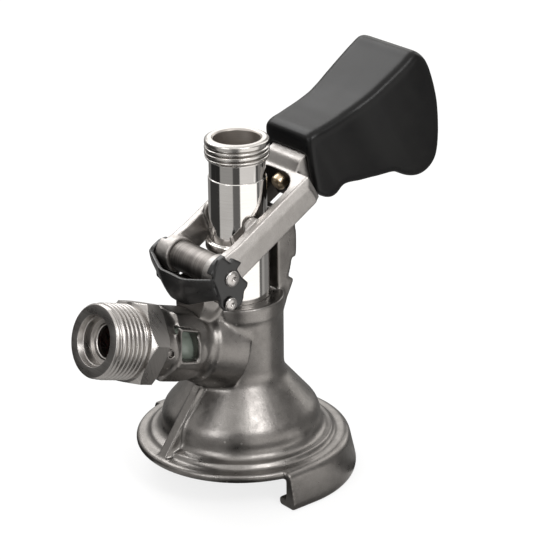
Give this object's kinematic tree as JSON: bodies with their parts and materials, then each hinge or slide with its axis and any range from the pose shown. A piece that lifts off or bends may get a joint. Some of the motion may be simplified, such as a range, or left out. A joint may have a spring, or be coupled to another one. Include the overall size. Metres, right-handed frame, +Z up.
{
  "type": "keg coupler",
  "caption": "Lever-handle keg coupler: a slide-on bell with a threaded gas inlet, a sliding probe with a threaded beer outlet, and a latching lever.",
  "frame": {"origin": "on the probe's axis, level with the foot of the skirt that hooks under the keg's neck", "axes": "+Z up along the probe, -X towards the gas inlet and the skirt's open side, +X towards the handle, Y along the pins"},
  "size_m": [0.1487, 0.0834, 0.1456],
  "materials": {
    "cast_steel": "bead-blasted casting",
    "turned_steel": "turned and polished",
    "lever_steel": "satin casting",
    "dark_steel": "blackened",
    "black_moulding": "satin",
    "link_moulding": "semi-gloss",
    "brass_bolt": "turned",
    "black_rubber": "moulded",
    "red_rubber": "moulded",
    "white_plastic": "moulded",
    "spring_steel": "wire"
  },
  "bodies": {
    "coupler_body": {"body_casting": "cast_steel", "gas_inlet_tail": "turned_steel", "inlet_washer": "black_rubber", "check_valve_liner": "white_plastic", "liner_o_ring": "black_rubber", "check_valve": "red_rubber", "keg_gasket": "black_rubber", "neck_o_rings": "black_rubber", "lower_pin": "turned_steel"},
    "probe": {"probe_tube": "turned_steel", "probe_sleeve": "turned_steel", "probe_tip": "turned_steel", "probe_seal": "black_rubber", "ball_retainer": "spring_steel"},
    "check_ball": {"outlet_ball": "white_plastic"},
    "link": {"link_bracket": "link_moulding", "upper_pin": "turned_steel"},
    "roller": {"roller": "dark_steel"},
    "lever": {"lever_yoke": "lever_steel", "spring_plug": "turned_steel", "latch_spring": "spring_steel"},
    "grip": {"grip": "black_moulding", "latch_bolt": "brass_bolt", "grip_insert": "brass_bolt"}
  },
  "joints": [
    {"name": "probe_slide", "type": "slide", "parent": "coupler_body", "child": "probe", "axis": [0, 0, -1], "range_m": [0, 0.0149]},
    {"name": "link_swing", "type": "hinge", "parent": "coupler_body", "child": "link", "pos_m": [-0.019, 0, 0.0746], "axis": [0, -1, 0], "range_deg": [0, 8]},
    {"name": "lever_swing", "type": "hinge", "parent": "link", "child": "lever", "pos_m": [-0.0179, 0, 0.0835], "axis": [0, 1, 0], "range_deg": [0, 52]},
    {"name": "roller_spin", "type": "hinge", "parent": "link", "child": "roller", "pos_m": [-0.0179, 0, 0.0835], "axis": [0, 1, 0], "continuous": true},
    {"name": "grip_slide", "type": "slide", "parent": "lever", "child": "grip", "axis": [0.866, 0, 0.5], "range_m": [-0.0012, 0.003], "stiffness_N_per_m": 1500, "deforming": ["latch_spring"]},
    {"name": "ball_lift", "type": "slide", "parent": "probe", "child": "check_ball", "axis": [0, 0, 1], "range_m": [0, 0.003]}
  ],
  "couplings": [
    {"joint": "lever_swing", "follows": "probe_slide", "rad_per_m": 60.9},
    {"joint": "link_swing", "follows": "probe_slide", "rad_per_m": 9.368}
  ]
}
